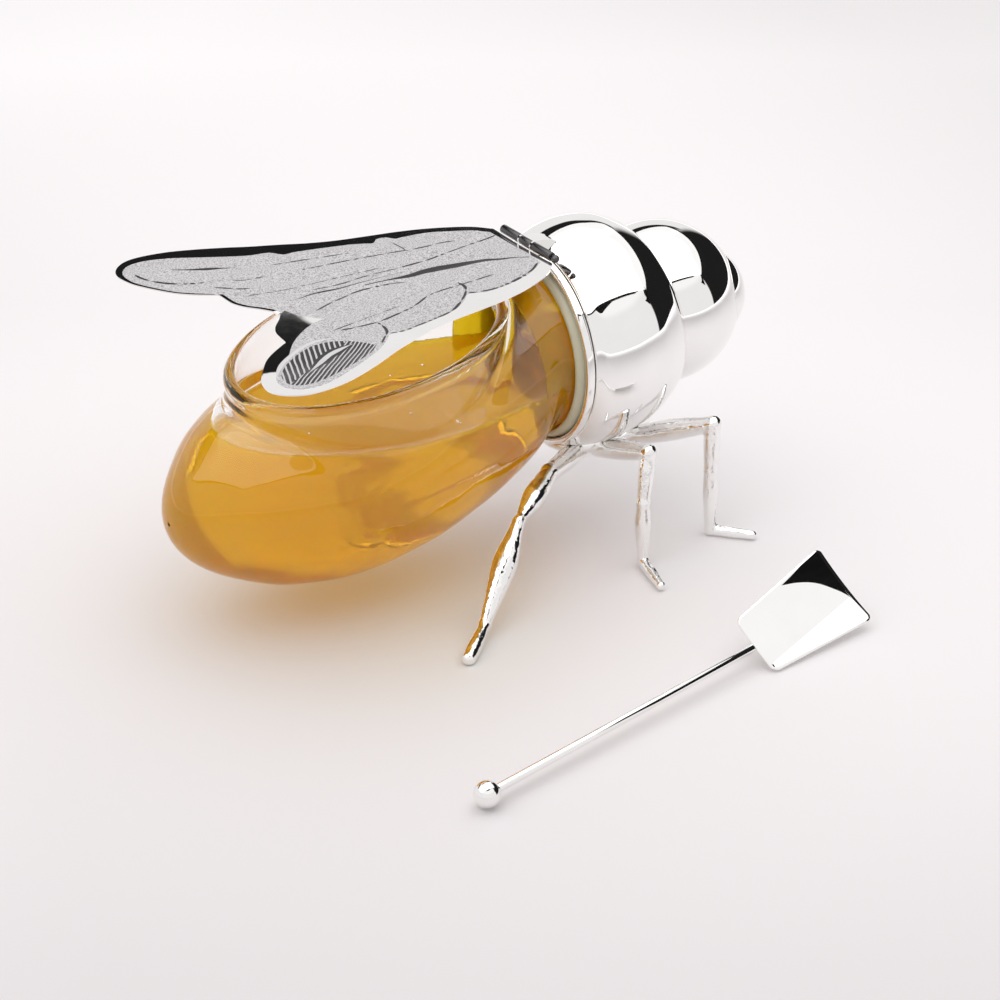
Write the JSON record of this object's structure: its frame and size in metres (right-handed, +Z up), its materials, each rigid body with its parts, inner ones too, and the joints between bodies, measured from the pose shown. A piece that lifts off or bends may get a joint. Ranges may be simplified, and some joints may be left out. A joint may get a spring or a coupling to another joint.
{
  "type": "glass honey jar",
  "caption": "Bee-shaped honey jar on slender legs: glass abdomen bowl with an oval mouth, silver head and thorax, hinged etched wing lid and a flat-bladed honey spoon beside it.",
  "frame": {"origin": "middle of the whole set's outline on the table plane, jar and spoon together", "axes": "+X from the glass tail to the head, +Y to the bee's left side, away from the spoon, +Z up"},
  "size_m": [0.1996, 0.1894, 0.1004],
  "materials": {
    "polished_silver": "mirror polished silver plate",
    "etched_silver": "finely etched matt silver plate with a polished margin",
    "pin_steel": "polished pin and screw metal",
    "clear_glass": "clear blown glass",
    "honey": "clear amber honey, glossy",
    "seal_cream": "cream seal ring, satin"
  },
  "bodies": {
    "jar": {"glass_bowl": "clear_glass", "honey_fill": "honey", "neck_seal": "seal_cream", "thorax_rim": "polished_silver", "thorax_shell": "polished_silver", "neck_plate": "polished_silver", "head_shell": "polished_silver", "eye_left": "polished_silver", "eye_right": "polished_silver", "hinge_bracket": "polished_silver", "hinge_pin": "pin_steel", "hinge_pin_knob": "polished_silver", "leg_hub": "polished_silver", "hub_bolt": "pin_steel", "hub_nut": "pin_steel", "leg_front_left": "polished_silver", "leg_front_right": "polished_silver", "leg_middle_left": "polished_silver", "leg_middle_right": "polished_silver", "leg_hind_left": "polished_silver", "leg_hind_right": "polished_silver"},
    "lid": {"wing_lid": "etched_silver", "lid_knuckle_left": "polished_silver", "lid_knuckle_right": "polished_silver"},
    "spoon": {"spoon_ball": "polished_silver", "spoon_rod": "polished_silver", "spoon_blade": "polished_silver"}
  },
  "joints": [
    {"name": "lid_hinge", "type": "hinge", "parent": "jar", "child": "lid", "pos_m": [0.0245, 0.03345, 0.0977], "axis": [0, 1, 0], "range_deg": [0, 110]},
    {"name": "spoon_lift", "type": "slide", "parent": "jar", "child": "spoon", "axis": [0, 0, 1], "range_m": [0, 0.12]}
  ]
}
